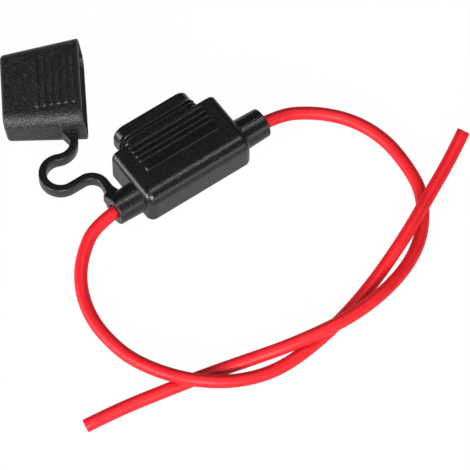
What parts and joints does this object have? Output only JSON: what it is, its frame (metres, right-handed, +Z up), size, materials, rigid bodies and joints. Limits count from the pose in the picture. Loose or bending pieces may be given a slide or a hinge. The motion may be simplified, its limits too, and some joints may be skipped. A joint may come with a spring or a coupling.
{
  "type": "inline blade fuse holder",
  "caption": "Splash-proof inline holder for a flat blade fuse, with a tethered push-on cap, a ribbed housing, collars and red leads that end in plain cuts.",
  "frame": {"origin": "on the housing's underside, below the middle of the line through both collars", "axes": "+Z up off the large face that the housing lies on, +X along the collars towards the right lead, +Y out of the fuse socket"},
  "size_m": [0.1358, 0.1248, 0.0151],
  "materials": {
    "moulding": "fine grained black flexible vinyl",
    "insulation": "smooth red vinyl",
    "terminal": "tin plated",
    "conductor": "bare stranded copper, cut end"
  },
  "bodies": {
    "holder": {"holder_body": "moulding", "strap_housing_side": "moulding", "terminal_left": "terminal", "terminal_right": "terminal", "wire_left": "insulation", "wire_right": "insulation", "core_left": "conductor", "core_right": "conductor"},
    "cap": {"cap": "moulding", "strap_cap_side": "moulding"}
  },
  "joints": [
    {"name": "cap_swing", "type": "hinge", "parent": "holder", "child": "cap", "pos_m": [-0.0304, 0.01275, 0.006], "axis": [0, 0, 1], "range_deg": [-23, 30], "stiffness_Nm_per_rad": 0.004}
  ]
}
